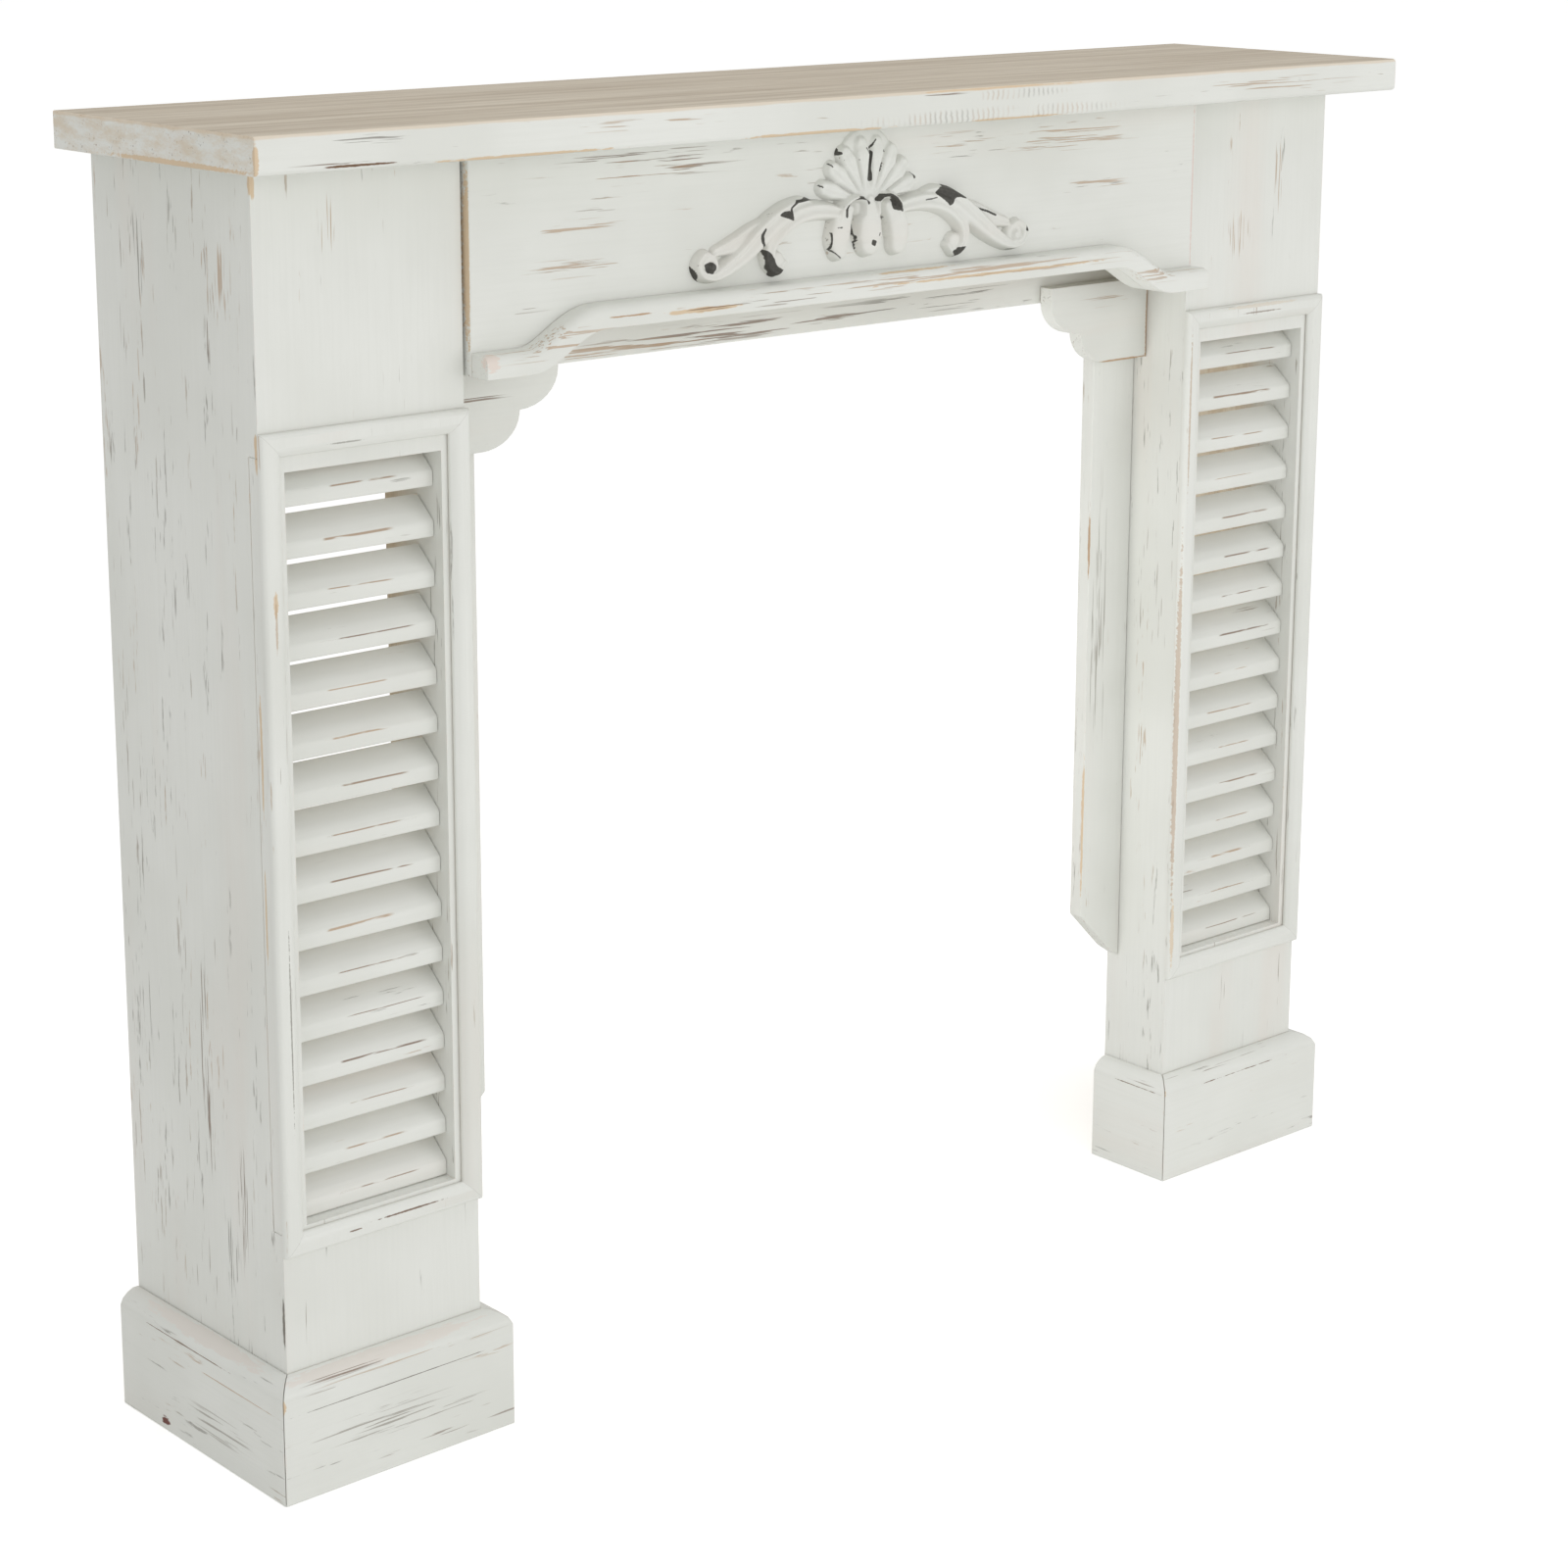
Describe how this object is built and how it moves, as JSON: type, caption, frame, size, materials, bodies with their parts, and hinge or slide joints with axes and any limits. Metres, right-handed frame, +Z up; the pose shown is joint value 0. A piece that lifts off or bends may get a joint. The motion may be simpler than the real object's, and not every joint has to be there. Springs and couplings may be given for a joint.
{
  "type": "fireplace mantelpiece",
  "caption": "Free-standing painted wooden mantelpiece with louvred legs on plinths, a shaped frieze with an applied scroll ornament, and a plain shelf.",
  "frame": {"origin": "on the floor, at the middle of the outer box in plan", "axes": "+X along the front, to the right for a person facing the front; +Y back towards the wall; +Z up"},
  "size_m": [1.176, 0.261, 1],
  "materials": {
    "shelf_board": "worn washed paint over bare wood, matt",
    "frieze": "chalky off-white paint, worn, matt",
    "mouldings": "chalky off-white paint, worn at the arrises, matt",
    "ornament": "brushed white paint over dark, worn, matt",
    "inner_frame": "chalky off-white paint, worn, matt",
    "leg_boards": "chalky off-white paint rubbed along the grain, matt",
    "plinths": "chalky off-white paint, scuffed, matt",
    "slats": "chalky off-white paint, worn at the arrises, matt"
  },
  "bodies": {
    "root": {"shelf": "shelf_board", "frieze_board": "frieze", "frieze_moulding": "mouldings", "frieze_ornament": "ornament", "lintel_rail": "inner_frame", "bracket_left": "inner_frame", "bracket_right": "inner_frame", "inner_stile_left": "inner_frame", "inner_stile_right": "inner_frame", "leg_outer_side_left": "leg_boards", "leg_outer_side_right": "leg_boards", "leg_inner_side_left": "leg_boards", "leg_inner_side_right": "leg_boards", "upper_panel_left": "leg_boards", "upper_panel_right": "leg_boards", "lower_panel_left": "leg_boards", "lower_panel_right": "leg_boards", "louvre_surround_left": "mouldings", "louvre_surround_right": "mouldings", "plinth_outer_left": "plinths", "plinth_front_left": "plinths", "plinth_inner_left": "plinths", "plinth_outer_right": "plinths", "plinth_front_right": "plinths", "plinth_inner_right": "plinths", "slat_left_01": "slats", "slat_left_02": "slats", "slat_left_03": "slats", "slat_left_04": "slats", "slat_left_05": "slats", "slat_left_06": "slats", "slat_left_07": "slats", "slat_left_08": "slats", "slat_left_09": "slats", "slat_left_10": "slats", "slat_left_11": "slats", "slat_left_12": "slats", "slat_left_13": "slats", "slat_left_14": "slats", "slat_left_15": "slats", "slat_left_16": "slats", "slat_right_01": "slats", "slat_right_02": "slats", "slat_right_03": "slats", "slat_right_04": "slats", "slat_right_05": "slats", "slat_right_06": "slats", "slat_right_07": "slats", "slat_right_08": "slats", "slat_right_09": "slats", "slat_right_10": "slats", "slat_right_11": "slats", "slat_right_12": "slats", "slat_right_13": "slats", "slat_right_14": "slats", "slat_right_15": "slats", "slat_right_16": "slats"}
  },
  "joints": []
}
